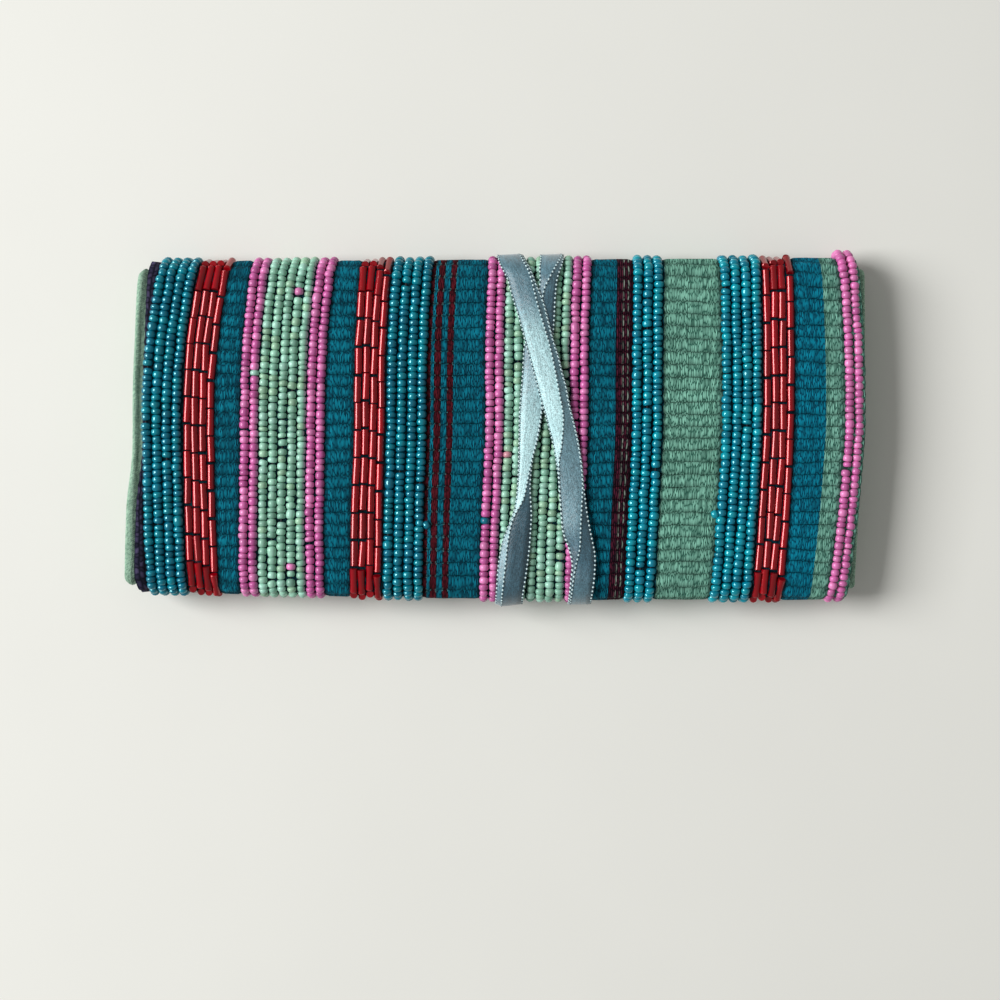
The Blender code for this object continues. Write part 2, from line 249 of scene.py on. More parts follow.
def place(x, along, height):
    """A point of the settled roll, at a height over the sheet's outer face."""
    y, z, out_y, out_z = section(along)
    point = settle(x, y + out_y * height, z + out_z * height) + SHIFT
    point.x += WANDER * noise.noise(Vector((x * 9, along * 28, 1.5)))
    return point


# Colour and node helpers

def tint(red, green, blue):
    """A colour as the eye names it, from 0 to 255, as light values."""
    values = []
    for value in (red, green, blue):
        share = value / 255
        values.append(share / 12.92 if share <= 0.04045 else ((share + 0.055) / 1.055) ** 2.4)
    return (*values, 1.0)


def node(tree, kind, inputs=None, **settings):
    """A shader node with its settings, and its inputs given as values or sockets."""
    made = tree.nodes.new(kind)
    for name, value in settings.items():
        setattr(made, name, value)
    for key, value in (inputs or {}).items():
        if isinstance(value, bpy.types.NodeSocket):
            tree.links.new(value, made.inputs[key])
        else:
            made.inputs[key].default_value = value
    return made


def sum_of(tree, operation, *values):
    """The result of a Math node."""
    return node(tree, "ShaderNodeMath", dict(enumerate(values)), operation=operation).outputs[0]


def blend(tree, factor, first, second, mode="MIX"):
    """The result of a colour Mix node."""
    made = node(tree, "ShaderNodeMix", data_type="RGBA", blend_type=mode)
    for key, value in ((0, factor), (6, first), (7, second)):
        if isinstance(value, bpy.types.NodeSocket):
            tree.links.new(value, made.inputs[key])
        else:
            made.inputs[key].default_value = value
    return made.outputs[2]


def colour_steps(tree, factor, stops, smooth=False):
    """A Color Ramp through (position, colour) stops."""
    made = node(tree, "ShaderNodeValToRGB", {"Fac": factor})
    made.color_ramp.interpolation = "LINEAR" if smooth else "CONSTANT"
    elements = made.color_ramp.elements
    elements.remove(elements[1])
    elements[0].position, elements[0].color = stops[0]
    for position, colour in stops[1:]:
        elements.new(position).color = colour
    return made.outputs["Color"]


def new_group(name, inputs, outputs):
    """A shader node group with named float, vector or colour sockets."""
    group = bpy.data.node_groups.new(name, "ShaderNodeTree")
    for label, kind in inputs:
        group.interface.new_socket(name=label, in_out="INPUT", socket_type=kind)
    for label, kind in outputs:
        group.interface.new_socket(name=label, in_out="OUTPUT", socket_type=kind)
    entry = group.nodes.new("NodeGroupInput")
    leave = group.nodes.new("NodeGroupOutput")
    return group, entry.outputs, leave.inputs


def yarn_weave():
    """Side-by-side yarns in short floats, each a little lighter or darker."""
    group, given, result = new_group(
        "yarn_weave",
        [("Across", "NodeSocketFloat"), ("Along", "NodeSocketFloat"), ("Yarn Width", "NodeSocketFloat"),
         ("Float Length", "NodeSocketFloat"), ("Stagger", "NodeSocketFloat")],
        [("Height", "NodeSocketFloat"), ("Shade", "NodeSocketFloat")],
    )
    lane = sum_of(group, "DIVIDE", given["Across"], given["Yarn Width"])
    lane_number = sum_of(group, "FLOOR", lane)
    lane_chance = node(group, "ShaderNodeTexWhiteNoise", {"W": lane_number}, noise_dimensions="1D")
    length = sum_of(group, "DIVIDE", given["Along"], given["Float Length"])
    stagger = sum_of(group, "MULTIPLY", lane_chance.outputs["Value"], given["Stagger"])
    run = sum_of(group, "ADD", length, stagger)
    run_number = sum_of(group, "FLOOR", run)
    cell = node(group, "ShaderNodeCombineXYZ", {"X": lane_number, "Y": run_number})
    chance = node(group, "ShaderNodeTexWhiteNoise", {"Vector": cell.outputs[0]}, noise_dimensions="2D")
    side = sum_of(group, "ABSOLUTE", sum_of(group, "MULTIPLY_ADD", sum_of(group, "FRACT", lane), 2.0, -1.0))
    end = sum_of(group, "ABSOLUTE", sum_of(group, "MULTIPLY_ADD", sum_of(group, "FRACT", run), 2.0, -1.0))
    round_side = sum_of(group, "SUBTRACT", 1.0, sum_of(group, "POWER", side, 2.0))
    round_end = sum_of(group, "SUBTRACT", 1.0, sum_of(group, "POWER", end, 3.0))
    group.links.new(sum_of(group, "MULTIPLY", round_side, round_end), result["Height"])
    group.links.new(chance.outputs["Value"], result["Shade"])
    return group


def soft_variation():
    """A slow and a fine unevenness, around one."""
    group, given, result = new_group(
        "soft_variation",
        [("Vector", "NodeSocketVector"), ("Scale", "NodeSocketFloat"), ("Amount", "NodeSocketFloat")],
        [("Factor", "NodeSocketFloat"), ("Fine", "NodeSocketFloat")],
    )
    slow = node(group, "ShaderNodeTexNoise", {
        "Vector": given["Vector"], "Scale": given["Scale"], "Detail": 3.0, "Roughness": 0.6})
    fine_scale = sum_of(group, "MULTIPLY", given["Scale"], 9.0)
    fine = node(group, "ShaderNodeTexNoise", {
        "Vector": given["Vector"], "Scale": fine_scale, "Detail": 2.0, "Roughness": 0.5})
    centred = sum_of(group, "SUBTRACT", slow.outputs["Fac"], 0.5)
    swing = sum_of(group, "MULTIPLY", centred, given["Amount"])
    group.links.new(sum_of(group, "MULTIPLY_ADD", swing, 2.0, 1.0), result["Factor"])
    group.links.new(fine.outputs["Fac"], result["Fine"])
    return group


YARN_WEAVE = yarn_weave()
SOFT_VARIATION = soft_variation()


def new_material(name):
    """A material, its node tree and its Principled shader."""
    made = bpy.data.materials.new(name)
    made.use_nodes = True
    return made, made.node_tree, made.node_tree.nodes["Principled BSDF"]


def scaled(tree, colour, factor):
    """A colour made lighter or darker by a value."""
    if not isinstance(colour, bpy.types.NodeSocket):
        colour = colour[:3]
    scale = node(tree, "ShaderNodeVectorMath", {0: colour, "Scale": factor}, operation="SCALE")
    return scale.outputs[0]


def unevenness(tree, scale, amount):
    """The outputs of a soft variation that follows the object."""
    place_of = node(tree, "ShaderNodeTexCoord").outputs["Object"]
    made = node(tree, "ShaderNodeGroup", {"Vector": place_of, "Scale": scale, "Amount": amount},
                node_tree=SOFT_VARIATION)
    return made.outputs


def raise_surface(tree, shader, height, strength, distance):
    """A bump on the shader's normal."""
    bump = node(tree, "ShaderNodeBump", {"Height": height, "Strength": strength, "Distance": distance})
    tree.links.new(bump.outputs[0], shader.inputs["Normal"])


# Cloth

RIB_PITCH = 0.0035
RIB_CROWN = 0.00055
RIB_VALLEY = 0.00010
BEAD_PRESS = 0.0009
DASH_LINES = (0.0003, 0.0029, 0.0064)
DASH_WIDTH = 0.0019
FLECK_LINES = (0.0021, 0.0034)
FLECK_WIDTH = 0.00048
MAROON_BAND = 0.0048
SAGE_BORDER = 0.0060
EDGE_REACH = 0.0042
LEFT_DRAW = {"bottom": 0.0003, "middle": 0.0015, "top": 0.0009}
RIGHT_DRAW = 0.0003
CORNER_ROUND = 0.0034
BARE_STEP = 0.0013
PRESSED_STEP = 0.0045
FLAP_ROWS = 20
ROWS_PER_RIB = 8


def bare_share(x):
    """How far a point is from the beads that press the cloth flat, from 0 to 1."""
    for left, right in BARE_STRIPES:
        if left <= x <= right:
            reach = min(BEAD_PRESS, (right - left) / 2)
            from_left = 1.0 if left in (CLOTH_LEFT, BANDS[-1][1]) else ease(x, left, left + reach)
            from_right = 1.0 if left == BANDS[-1][1] else ease(-x, -right, -right + reach)
            return min(from_left, from_right)
    return 0.0


def left_draw(y):
    """How far the left edge of the cloth and the lining draws in, most at the middle of the roll."""
    rise = (LEFT_DRAW["middle"] - LEFT_DRAW["bottom"]) * ease(y, -0.024, -0.006)
    fall = (LEFT_DRAW["middle"] - LEFT_DRAW["top"]) * ease(y, 0.022, 0.045)
    return LEFT_DRAW["bottom"] + rise - fall


def corner_draw(y):
    """How far the cloth's left corner at the bottom fold is rounded off."""
    corner = ramp(-y, HALF_DEPTH - 0.0085, HALF_DEPTH - 0.0010)
    return CORNER_ROUND * (1 - math.sqrt(1 - corner * corner))


def rib_phase(x, along):
    """Count of weft ribs from the flap's end; the ribs run a little unevenly."""
    drift = 0.34 * noise.noise(Vector((x * 42, along * 38, 4.0)))
    drift += 0.12 * noise.noise(Vector((x * 170, along * 150, 9.0)))
    return along / RIB_PITCH + drift


def rib_height(x, along):
    """Relief of the ribs over the sheet's outer face."""
    side = abs(2 * (rib_phase(x, along) % 1.0) - 1)
    height = RIB_CROWN - (RIB_CROWN + RIB_VALLEY) * (0.5 - 0.5 * math.cos(math.pi * side)) ** 1.4
    height *= 0.9 + 0.4 * noise.noise(Vector((x * 90, along * 70, 2.0)))
    return height * bare_share(x)


def cloth_columns():
    """Lines along X, close on bare cloth and few under the beads."""
    lines = [CLOTH_LEFT]
    for kind, amount in STRIPES:
        width = stripe_width(kind, amount)
        step = BARE_STEP if kind == "bare" else PRESSED_STEP
        count = max(1, round(width / step))
        start = lines[-1]
        lines += [start + width * (number + 1) / count for number in range(count)]
    return lines


def cloth_rows():
    """Distances along the sheet: coarse on the hidden flap, then several to a rib."""
    flap = [BOTTOM_START * number / FLAP_ROWS for number in range(FLAP_ROWS)]
    count = round((SHEET_LENGTH - BOTTOM_START) / (RIB_PITCH / ROWS_PER_RIB))
    step = (SHEET_LENGTH - BOTTOM_START) / count
    return flap + [BOTTOM_START + step * number for number in range(count + 1)]


def grid_faces(rows, columns):
    """Quads of a grid whose points run column by column in each row."""
    return [
        (row * columns + column, row * columns + column + 1,
         (row + 1) * columns + column + 1, (row + 1) * columns + column)
        for row in range(rows - 1) for column in range(columns - 1)
    ]


def shown(mesh, name, material):
    """A smooth-shaded object for a mesh, linked and given its material."""
    mesh.materials.append(material)
    mesh.polygons.foreach_set("use_smooth", [True] * len(mesh.polygons))
    made = bpy.data.objects.new(name, mesh)
    bpy.context.collection.objects.link(made)
    return made


def only(piece):
    """Select one piece alone and make it active."""
    bpy.ops.object.select_all(action="DESELECT")
    piece.select_set(True)
    bpy.context.view_layer.objects.active = piece


def apply_modifiers(piece):
    """Turn a piece's modifiers into mesh."""
    only(piece)
    for modifier in list(piece.modifiers):
        bpy.ops.object.modifier_apply(modifier=modifier.name)


def join_pieces(pieces, name):
    """Several pieces as one, with their places in its mesh."""
    only(pieces[0])
    for piece in pieces[1:]:
        piece.select_set(True)
    bpy.ops.object.join()
    bpy.ops.object.transform_apply(location=True, rotation=True, scale=True)
    joined = bpy.context.active_object
    joined.name = name
    return joined


def weave_cloth(material):
    """The striped outer cloth, ribbed where no beads press on it."""
    columns = cloth_columns()
    rows = cloth_rows()
    open_share = [bare_share(x) for x in columns]
    points = []
    phases = []
    for along in rows:
        for x in columns:
            points.append(place(x, along, rib_height(x, along)))
            phases.append(rib_phase(x, along))
        y = section(along)[0]
        for column, x in enumerate(columns):
            reach = EDGE_REACH - (x - CLOTH_LEFT)
            if reach > 0:
                points[column - len(columns)].x += (left_draw(y) + corner_draw(y)) * reach / EDGE_REACH
        points[-1].x -= RIGHT_DRAW
    mesh = bpy.data.meshes.new("striped_cloth")
    mesh.from_pydata(points, [], grid_faces(len(rows), len(columns)))
    flat = mesh.uv_layers.new(name="flat")
    for loop in mesh.loops:
        row, column = divmod(loop.vertex_index, len(columns))
        flat.data[loop.index].uv = (columns[column] - CLOTH_LEFT, rows[row])
    phase = mesh.attributes.new("rib_phase", "FLOAT", "POINT")
    phase.data.foreach_set("value", phases)
    # How far the cloth is clear of the beads; the material paints shade under and beside them from it.
    bare = mesh.attributes.new("bare_cloth", "FLOAT", "POINT")
    bare.data.foreach_set("value", open_share * len(rows))
    cloth = shown(mesh, "striped_cloth", material)
    thickness = cloth.modifiers.new("thickness", "SOLIDIFY")
    thickness.thickness = CLOTH_THICK
    thickness.offset = 1.0
    thickness.use_rim = True
    apply_modifiers(cloth)
    return cloth


def band_left(number):
    """The left side of a bead band, counted from the cloth's left edge."""
    return BANDS[number - 1][0] - CLOTH_LEFT


def band_right(number):
    """The right side of a bead band, counted from the cloth's left edge."""
    return BANDS[number - 1][1] - CLOTH_LEFT


def stripe_stops(colours):
    """Ramp stops across the cloth for its margin, ground, maroon band and sage stripes."""
    sides = [
        (0.0, "margin"), (band_left(1), "ground"),
        (band_left(11) - MAROON_BAND, "maroon"), (band_left(11), "ground"),
        (band_right(11), "sage"), (band_left(12), "clear"),
        (band_left(14) - SAGE_BORDER, "border"),
    ]
    return [(side / CLOTH_WIDTH, colours[name]) for side, name in sides]


def near_line(tree, across, middle, width):
    """A mask that is one within half a width of a line along the cloth."""
    distance = sum_of(tree, "ABSOLUTE", sum_of(tree, "SUBTRACT", across, middle))
    return sum_of(tree, "LESS_THAN", distance, width / 2)


def cloth_material():
    """Ribbed cloth: stripes across it, short yarns with painted light and shade, painted shade in the rib
    valleys and under the beads, and two kinds of dashed lines.
    """
    made, tree, shader = new_material("ribbed_cloth")
    flat = node(tree, "ShaderNodeUVMap", uv_map="flat")
    apart = node(tree, "ShaderNodeSeparateXYZ", {0: flat.outputs["UV"]})
    waver = node(tree, "ShaderNodeTexNoise", {"Vector": flat.outputs["UV"], "Scale": 480.0, "Detail": 2.0})
    across = sum_of(tree, "ADD", apart.outputs["X"],
                    sum_of(tree, "MULTIPLY_ADD", waver.outputs["Fac"], 0.0003, -0.00015))
    share = sum_of(tree, "DIVIDE", across, CLOTH_WIDTH)
    drawn = node(tree, "ShaderNodeMapping", {"Vector": flat.outputs["UV"], "Scale": (1.0, 0.22, 1.0)})
    ragged = node(tree, "ShaderNodeTexNoise", {"Vector": drawn.outputs[0], "Scale": 2400.0, "Detail": 1.0})
    phase = node(tree, "ShaderNodeAttribute", attribute_name="rib_phase").outputs["Fac"]
    ribs = sum_of(tree, "ADD", phase, sum_of(tree, "MULTIPLY_ADD", ragged.outputs["Fac"], 0.36, -0.18))
    side = sum_of(tree, "ABSOLUTE", sum_of(tree, "MULTIPLY_ADD", sum_of(tree, "FRACT", ribs), 2.0, -1.0))

    light = colour_steps(tree, share, stripe_stops({
        "margin": tint(74, 68, 98), "ground": tint(16, 156, 184), "maroon": tint(88, 28, 50),
        "sage": tint(174, 248, 222), "clear": tint(16, 172, 206), "border": tint(172, 246, 222)}))
    dark = colour_steps(tree, share, stripe_stops({
        "margin": tint(14, 18, 36), "ground": tint(0, 40, 60), "maroon": tint(8, 8, 18),
        "sage": tint(26, 82, 68), "clear": tint(0, 52, 76), "border": tint(30, 84, 72)}))
    coarse = colour_steps(tree, share, stripe_stops({
        "margin": (1, 1, 1, 1), "ground": (0, 0, 0, 1), "maroon": (1, 1, 1, 1),
        "sage": (0, 0, 0, 1), "clear": (0, 0, 0, 1), "border": (0, 0, 0, 1)}))
    fine_yarn, thick_yarn = [
        node(tree, "ShaderNodeGroup", {
            "Across": across, "Along": ribs, "Yarn Width": width, "Float Length": length,
            "Stagger": 1.0}, node_tree=YARN_WEAVE)
        for width, length in ((0.00028, 0.50), (0.00056, 0.46))
    ]
    height = blend(tree, coarse, fine_yarn.outputs["Height"], thick_yarn.outputs["Height"])
    shade = blend(tree, coarse, fine_yarn.outputs["Shade"], thick_yarn.outputs["Shade"])
    # Painted light and shade of the yarn relief: lighter on each yarn's crown, darker at its sides and
    # float ends, times each float's own random tone.
    lit = sum_of(tree, "MULTIPLY", height, sum_of(tree, "MULTIPLY_ADD", shade, 1.15, 0.25))
    lit = node(tree, "ShaderNodeClamp", {"Value": lit}).outputs[0]
    colour = blend(tree, lit, dark, light)

    rib_round = sum_of(tree, "MULTIPLY", sum_of(tree, "POWER", side, 1.3), 0.84)
    for offset in DASH_LINES:
        distance = sum_of(tree, "SUBTRACT", across, band_right(7) + offset)
        spread = sum_of(tree, "POWER", sum_of(tree, "DIVIDE", distance, DASH_WIDTH / 2), 2.0)
        near = sum_of(tree, "LESS_THAN", spread, 1.0)
        waist = sum_of(tree, "MULTIPLY", near, sum_of(tree, "GREATER_THAN", side, 0.55))
        strand = sum_of(tree, "MULTIPLY", waist, sum_of(tree, "GREATER_THAN", spread, 0.30))
        colour = blend(tree, near, colour, tint(8, 10, 20))
        colour = blend(tree, sum_of(tree, "MULTIPLY", strand, height), colour, tint(124, 176, 180))
        link = sum_of(tree, "LESS_THAN", sum_of(tree, "ADD", spread, rib_round), 0.80)
        colour = blend(tree, link, colour, blend(tree, lit, tint(34, 4, 12), tint(122, 34, 48)))
    for offset in FLECK_LINES:
        lane = near_line(tree, across, band_left(11) - MAROON_BAND + offset, FLECK_WIDTH)
        fleck = sum_of(tree, "MULTIPLY", lane, sum_of(tree, "LESS_THAN", side, 0.48))
        colour = blend(tree, fleck, colour, blend(tree, lit, tint(40, 40, 38), tint(132, 146, 134)))

    # Painted shade in the rib valleys: the colour darkens towards each valley.
    valley_shade = node(tree, "ShaderNodeMapRange", {"Value": side, "To Max": -0.48},
                  interpolation_type="SMOOTHSTEP")
    depth = sum_of(tree, "ADD", valley_shade.outputs[0], 1.0)
    # Painted shade under and beside the beads: the colour falls to 0.15 of itself where the beads lie.
    unshaded_by_beads = node(tree, "ShaderNodeAttribute", attribute_name="bare_cloth").outputs["Fac"]
    depth = sum_of(tree, "MULTIPLY", depth, sum_of(tree, "MULTIPLY_ADD", unshaded_by_beads, 0.85, 0.15))
    uneven = unevenness(tree, 60.0, 0.22)
    colour = scaled(tree, colour, sum_of(tree, "MULTIPLY", depth, uneven["Factor"]))
    tree.links.new(colour, shader.inputs["Base Color"])
    rough = sum_of(tree, "MULTIPLY_ADD", uneven["Fine"], 0.2, 0.7)
    tree.links.new(rough, shader.inputs["Roughness"])
    shader.inputs["Specular IOR Level"].default_value = 0.08
    fuzz = sum_of(tree, "MULTIPLY_ADD", uneven["Fine"], 0.4, height)
    raise_surface(tree, shader, fuzz, 1.0, 0.00026)
    return made


# Lining

LINING_ROUND = 0.0022
LINING_LIP = 0.0011
LINING_PUFF = 0.00014
LINING_SWELL = 0.00006
LINING_SWELL_PITCH = 0.0042
LINING_ROWS = 330


def lining_rim(along):
    """How far the lining's rolled edge draws back at the folds, where its corners are round."""
    y = section(along)[0]
    corner = 1 - ramp(HALF_DEPTH - BEAD_REACH - abs(y), 0.0, LINING_ROUND)
    return LINING_ROUND * 0.75 * (1 - math.sqrt(1 - corner * corner))


def lining_profile(along):
    """Points round the lining at one place: outer face, right edge, inner face, left edge."""
    y = section(along)[0]
    corner = LINING_CORNER * min((y / HALF_DEPTH) ** 2, 1.0)
    radius = LINING_THICK / 2
    left = CLOTH_LEFT - LINING_LEFT + radius + lining_rim(along) + left_draw(y)
    right = CLOTH_RIGHT + LINING_RIGHT + corner - radius
    outer = [left, left + 0.0006, left + 0.0012, left + 0.0018, left + 0.0026]
    outer += [left + (right - left) * share / 14 for share in range(1, 14)]
    outer += [right - 0.0025, right - 0.0012, right]
    points = [(x, LINING_OFFSET) for x in outer]
    middle = LINING_OFFSET - radius
    for step in range(1, 6):
        angle = math.pi / 2 - math.pi * step / 6
        points.append((right + radius * math.cos(angle), middle + radius * math.sin(angle)))
    points += [(x, LINING_OFFSET - LINING_THICK) for x in reversed(outer)]
    for step in range(1, 6):
        angle = -math.pi / 2 - math.pi * step / 6
        points.append((left + radius * math.cos(angle), middle + radius * math.sin(angle)))
    return points


def sew_lining(material):
    """The padded lining, one soft shell with rolled edges."""
    points = []
    flat_at = []
    for row in range(LINING_ROWS + 1):
        along = SHEET_LENGTH * row / LINING_ROWS
        ripple = LINING_SWELL * math.cos(2 * math.pi * along / LINING_SWELL_PITCH)
        girth = 0.0
        before = None
        for x, height in lining_profile(along):
            puff = LINING_PUFF * noise.noise(Vector((x * 120, along * 110, height * 200)))
            swell = ripple if x < CLOTH_LEFT else 0.0
            lip = LINING_LIP * ease(CLOTH_LEFT - x, -0.0002, 0.0008)
            points.append(place(x, along, height + puff + swell + lip))
            girth += 0.0 if before is None else math.hypot(x - before[0], height - before[1])
            before = (x, height)
            flat_at.append((girth, along))
    around = len(points) // (LINING_ROWS + 1)
    faces = []
    for row in range(LINING_ROWS):
        for column in range(around):
            after = (column + 1) % around
            faces.append((row * around + column, row * around + after,
                          (row + 1) * around + after, (row + 1) * around + column))
    faces.append(tuple(reversed(range(around))))
    faces.append(tuple(LINING_ROWS * around + column for column in range(around)))
    mesh = bpy.data.meshes.new("sage_lining")
    mesh.from_pydata(points, [], faces)
    flat = mesh.uv_layers.new(name="flat")
    for loop in mesh.loops:
        flat.data[loop.index].uv = flat_at[loop.vertex_index]
    lining = shown(mesh, "sage_lining", material)
    only(lining)
    bpy.ops.object.mode_set(mode="EDIT")
    bpy.ops.mesh.select_all(action="SELECT")
    bpy.ops.mesh.normals_make_consistent(inside=False)
    bpy.ops.object.mode_set(mode="OBJECT")
    return lining


def lining_material():
    """Sage twill: fine yarns on a slant."""
    made, tree, shader = new_material("sage_twill")
    place_of = node(tree, "ShaderNodeTexCoord").outputs["Object"]
    turned = node(tree, "ShaderNodeMapping", {"Vector": place_of, "Rotation": (0.4, 0.0, 0.7)})
    apart = node(tree, "ShaderNodeSeparateXYZ", {0: turned.outputs[0]})
    yarn = node(tree, "ShaderNodeGroup", {
        "Across": apart.outputs["X"], "Along": apart.outputs["Y"],
        "Yarn Width": 0.00034, "Float Length": 0.0014, "Stagger": 1.0}, node_tree=YARN_WEAVE)
    uneven = unevenness(tree, 90.0, 0.22)
    # Painted light and shade of the yarn relief, mixed with each float's own random tone.
    lit = sum_of(tree, "MULTIPLY_ADD", yarn.outputs["Shade"], 0.4,
                 sum_of(tree, "MULTIPLY", yarn.outputs["Height"], 0.6))
    colour = blend(tree, lit, tint(94, 130, 108), tint(186, 222, 198))
    tree.links.new(scaled(tree, colour, uneven["Factor"]), shader.inputs["Base Color"])
    rough = sum_of(tree, "MULTIPLY_ADD", uneven["Fine"], 0.2, 0.7)
    tree.links.new(rough, shader.inputs["Roughness"])
    shader.inputs["Specular IOR Level"].default_value = 0.1
    raise_surface(tree, shader, yarn.outputs["Height"], 1.0, 0.00016)
    return made


# Beads

SEED_SIZE = (0.00260, 0.00184)
BUGLE_SIZE = (0.00212, 0.00720)
GLAZES = {
    "teal": ((0, 108, 132), (0, 118, 140), (0, 100, 126), (0, 124, 142)),
    "bright_teal": ((0, 126, 150), (0, 136, 158), (0, 118, 144), (0, 144, 162)),
    "bugle": ((138, 0, 14), (148, 0, 18), (122, 0, 12)),
    "pink": ((200, 104, 164), (210, 116, 174), (190, 92, 154), (218, 128, 182)),
    "pale_pink": ((214, 116, 176), (224, 130, 186), (206, 104, 168)),
    "mint": ((140, 188, 166), (150, 198, 176), (128, 176, 156), (158, 206, 188), (148, 188, 160)),
    "rose": ((200, 140, 152),),
}
STRUNG_WIDTH = {"teal": 0.00274, "pink": 0.00256, "mint": 0.00256, "bugle": 0.00215}
WIDTH_SPREAD = {"teal": 0.055, "pink": 0.040, "mint": 0.055, "bugle": 0.012}
TILT = {"teal": 0.095, "pink": 0.080, "mint": 0.120, "bugle": 0.020}
GAP_CHANCE = {"teal": 0.04, "pink": 0.02, "mint": 0.08, "bugle": 1.0}
FIRST_BEAD = {"teal": 0.0008, "pink": 0.0008, "mint": 0.0008, "bugle": 0.004}
BEAD_SIDES = 12
BEAD_GAP = (0.00002, 0.00010)
WIDE_GAP = (0.0001, 0.0008)
BEAD_JITTER = 0.00008
GLAZE_SPREAD = (0.92, 1.07)
CROWN_MARGIN = 0.00004
THREAD_RADIUS = 0.00030
THREAD_STEPS = 60
STRAND_STEPS = 380
STRAND_WANDER = 0.00018
LOOSE_END_BAND = 14
LOOSE_LIFT = 0.0016
LOOSE_REACH = 0.0065

# Beads strung out of order: strand, place up the front in metres, and glaze
ODD_BEADS = (
    ("band_04_mint_strand_4", 0.0381, "pale_pink"), ("band_03_pink_strand_2", 0.0148, "mint"),
    ("band_04_mint_strand_4", -0.0392, "pale_pink"), ("band_09_mint_strand_1", -0.0069, "rose"),
    ("band_08_pink_strand_1", -0.0260, "teal"),
)
ODD_REACH = 0.00088
# Beads caught beside their strand: strand, place up the front and offset along X
STRAY_BEADS = (("band_07_teal_strand_4", -0.0276, 0.0022), ("band_12_teal_strand_1", -0.0243, -0.0019))


def model_bead(name, size, rounding, segments, smooth, material):
    """One bead, modelled in millimetres: a short rod of glass with rounded rims."""
    width, length = (value * 1000 for value in size)
    bpy.ops.object.select_all(action="DESELECT")
    bpy.ops.mesh.primitive_cylinder_add(
        vertices=BEAD_SIDES, radius=width / 2, depth=length, end_fill_type="NGON")
    bead = bpy.context.active_object
    bead.name = name
    for edge in bead.data.edges:
        start, end = (bead.data.vertices[index].co.z for index in edge.vertices)
        edge.select = start * end > 0
    for face in bead.data.polygons:
        face.select = False
    bpy.context.tool_settings.mesh_select_mode = (False, True, False)
    bpy.ops.object.mode_set(mode="EDIT")
    bpy.ops.mesh.bevel(offset=rounding, segments=segments, profile=0.5, affect="EDGES")
    bpy.ops.object.mode_set(mode="OBJECT")
    bpy.ops.object.shade_smooth_by_angle(angle=math.radians(smooth))
    bead.data.materials.append(material)
    bead.data.attributes.new("glaze", "FLOAT_COLOR", "POINT")
    return bead


class Path:
    """A line through points, read by the distance along it."""

    def __init__(self, points):
        self.points = points
        self.marks = [0.0]
        for before, after in zip(points, points[1:]):
            self.marks.append(self.marks[-1] + (after - before).length)
        self.length = self.marks[-1]

    def at(self, distance):
        low, high = 0, len(self.marks) - 1
        while high - low > 1:
            half = (low + high) // 2
            if self.marks[half] <= distance:
                low = half
            else:
                high = half
        share = ramp(distance, self.marks[low], self.marks[high])
        return self.points[low].lerp(self.points[high], share)


def crown_height(kind):
    """Height of a bead's top over the cloth, a little inside the strand's plain form."""
    return CONTACT_GAP + BEAD_WIDTH[kind] * HEX_FLAT - CROWN_MARGIN


def strand_path(strand, rng):
    """The strand's thread over the cloth, from under the bottom fold to the hem."""
    reach = SHEET_LENGTH - BOTTOM_START
    top_middle = (TOP_START + BACK_START) / 2
    loose = LOOSE_LIFT if strand.band == LOOSE_END_BAND else rng.uniform(0.0, 0.0003)
    height = crown_height(strand.kind) - STRUNG_WIDTH[strand.kind] / 2
    points = []
    for number in range(STRAND_STEPS + 1):
        along = BOTTOM_START + reach * number / STRAND_STEPS
        lift = loose * math.exp(-((along - top_middle) / LOOSE_REACH) ** 2)
        point = place(strand.x, along, height + lift)
        point.x += STRAND_WANDER * noise.noise(Vector((strand.x * 900, along * 150, 7.0)))
        points.append(point)
    return Path(points)


def glaze_of(strand, centre, rng):
    """The colour of the next bead, or that of one strung out of order."""
    name = strand.kind
    if name == "teal" and strand.band in (11, 12):
        name = "bright_teal"
    if name == "pink" and strand.band == 14:
        name = "pale_pink"
    for odd_strand, y, glaze in ODD_BEADS:
        if strand.name == odd_strand and centre.z > TOP_FOLD_Z and abs(centre.y - y) < ODD_REACH:
            name = glaze
    red, green, blue = rng.choice(GLAZES[name])
    share = rng.uniform(*GLAZE_SPREAD)
    return tint(red * share, green * share, blue * share)


def thread_piece(path, material):
    """The dark sewing thread through one strand."""
    curve = bpy.data.curves.new("thread", "CURVE")
    curve.dimensions = "3D"
    curve.bevel_depth = THREAD_RADIUS
    curve.bevel_resolution = 1
    curve.use_fill_caps = True
    spline = curve.splines.new("POLY")
    spline.points.add(THREAD_STEPS)
    for number, point in enumerate(spline.points):
        point.co = (*path.at(path.length * number / THREAD_STEPS), 1.0)
    line = bpy.data.objects.new("thread", curve)
    bpy.context.collection.objects.link(line)
    only(line)
    bpy.ops.object.convert(target="MESH")
    thread = bpy.context.active_object
    thread.data.materials.append(material)
    return thread


def set_bead(model, kind, centre, direction, long, wide, colour, rng):
    """A copy of a bead at its place, turned along the thread, a little askew."""
    lean_share = TILT[kind]
    askew = Vector((rng.gauss(0, lean_share), rng.gauss(0, lean_share), rng.gauss(0, lean_share)))
    turn = (direction.normalized() + askew).to_track_quat("Z", "Y")
    turn = turn @ Quaternion((0, 0, 1), rng.uniform(0, math.tau))
    width, length = BUGLE_SIZE if kind == "bugle" else SEED_SIZE
    bead = model.copy()
    bead.data = model.data.copy()
    bpy.context.collection.objects.link(bead)
    size = Matrix.Diagonal((wide / width / 1000, wide / width / 1000, long / length / 1000, 1.0))
    bead.matrix_world = Matrix.Translation(centre) @ turn.to_matrix().to_4x4() @ size
    bead.data.attributes["glaze"].data.foreach_set("color", list(colour) * len(bead.data.vertices))
    return bead


